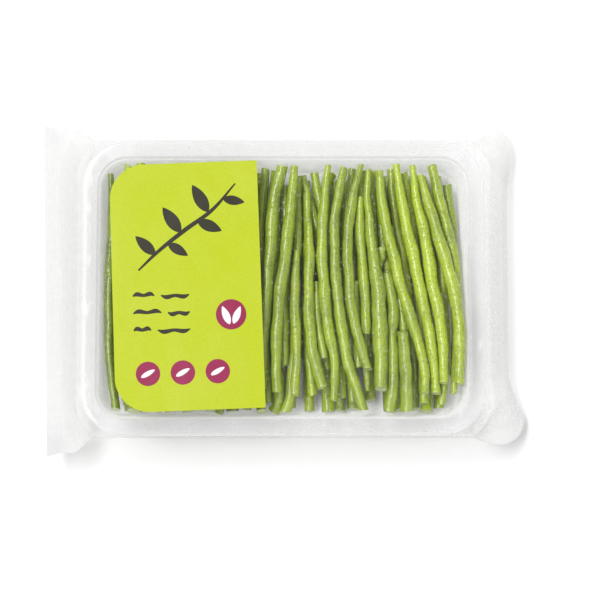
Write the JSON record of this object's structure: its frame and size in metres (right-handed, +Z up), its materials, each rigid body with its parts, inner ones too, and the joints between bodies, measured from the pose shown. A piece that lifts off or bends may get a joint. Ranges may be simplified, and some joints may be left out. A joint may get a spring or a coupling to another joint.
{
  "type": "green bean bundle",
  "caption": "Bundle of trimmed fine green beans lying side by side in a clear formed tray, sealed in clear film with a lime label across one end of the top.",
  "frame": {"origin": "Centre of the flat underside that the pack rests on, under the middle of the tray", "axes": "+X runs along the pack from the label end to the folded-down fin, +Y across it toward the stem ends of the beans, +Z up"},
  "size_m": [0.2247, 0.1544, 0.0258],
  "materials": {
    "tray_plastic": "clear, glossy",
    "film_plastic": "clear thin film, glossy",
    "label": "satin, lime print",
    "bean_a": "damp bean skin, mid green",
    "bean_b": "damp bean skin, fresh green",
    "bean_c": "damp bean skin, deeper green",
    "bean_d": "damp bean skin, yellowish green"
  },
  "bodies": {
    "root": {"tray": "tray_plastic", "film": "film_plastic", "label": "label", "bean_01": "bean_a", "bean_02": "bean_b", "bean_03": "bean_c", "bean_04": "bean_d", "bean_05": "bean_a", "bean_06": "bean_b", "bean_07": "bean_c", "bean_08": "bean_d", "bean_09": "bean_a", "bean_10": "bean_b", "bean_11": "bean_c", "bean_12": "bean_d", "bean_13": "bean_a", "bean_14": "bean_b", "bean_15": "bean_c", "bean_16": "bean_d", "bean_17": "bean_a", "bean_18": "bean_b", "bean_19": "bean_c", "bean_20": "bean_d", "bean_21": "bean_a", "bean_22": "bean_b", "bean_23": "bean_c", "bean_24": "bean_d", "bean_25": "bean_a", "bean_26": "bean_b", "bean_27": "bean_c", "bean_28": "bean_d", "bean_29": "bean_a", "bean_30": "bean_b", "bean_31": "bean_c", "bean_32": "bean_d", "bean_33": "bean_a", "bean_34": "bean_b", "bean_35": "bean_c", "bean_36": "bean_d", "bean_37": "bean_a", "bean_38": "bean_b", "bean_39": "bean_c", "bean_40": "bean_d", "bean_41": "bean_a", "bean_42": "bean_b", "bean_43": "bean_c", "bean_44": "bean_d", "bean_45": "bean_a", "bean_46": "bean_b", "bean_47": "bean_c", "bean_48": "bean_d", "bean_49": "bean_a", "bean_50": "bean_b", "bean_51": "bean_c", "bean_52": "bean_d", "bean_53": "bean_a", "bean_54": "bean_b", "bean_55": "bean_c", "bean_56": "bean_d", "bean_57": "bean_a"}
  },
  "joints": []
}
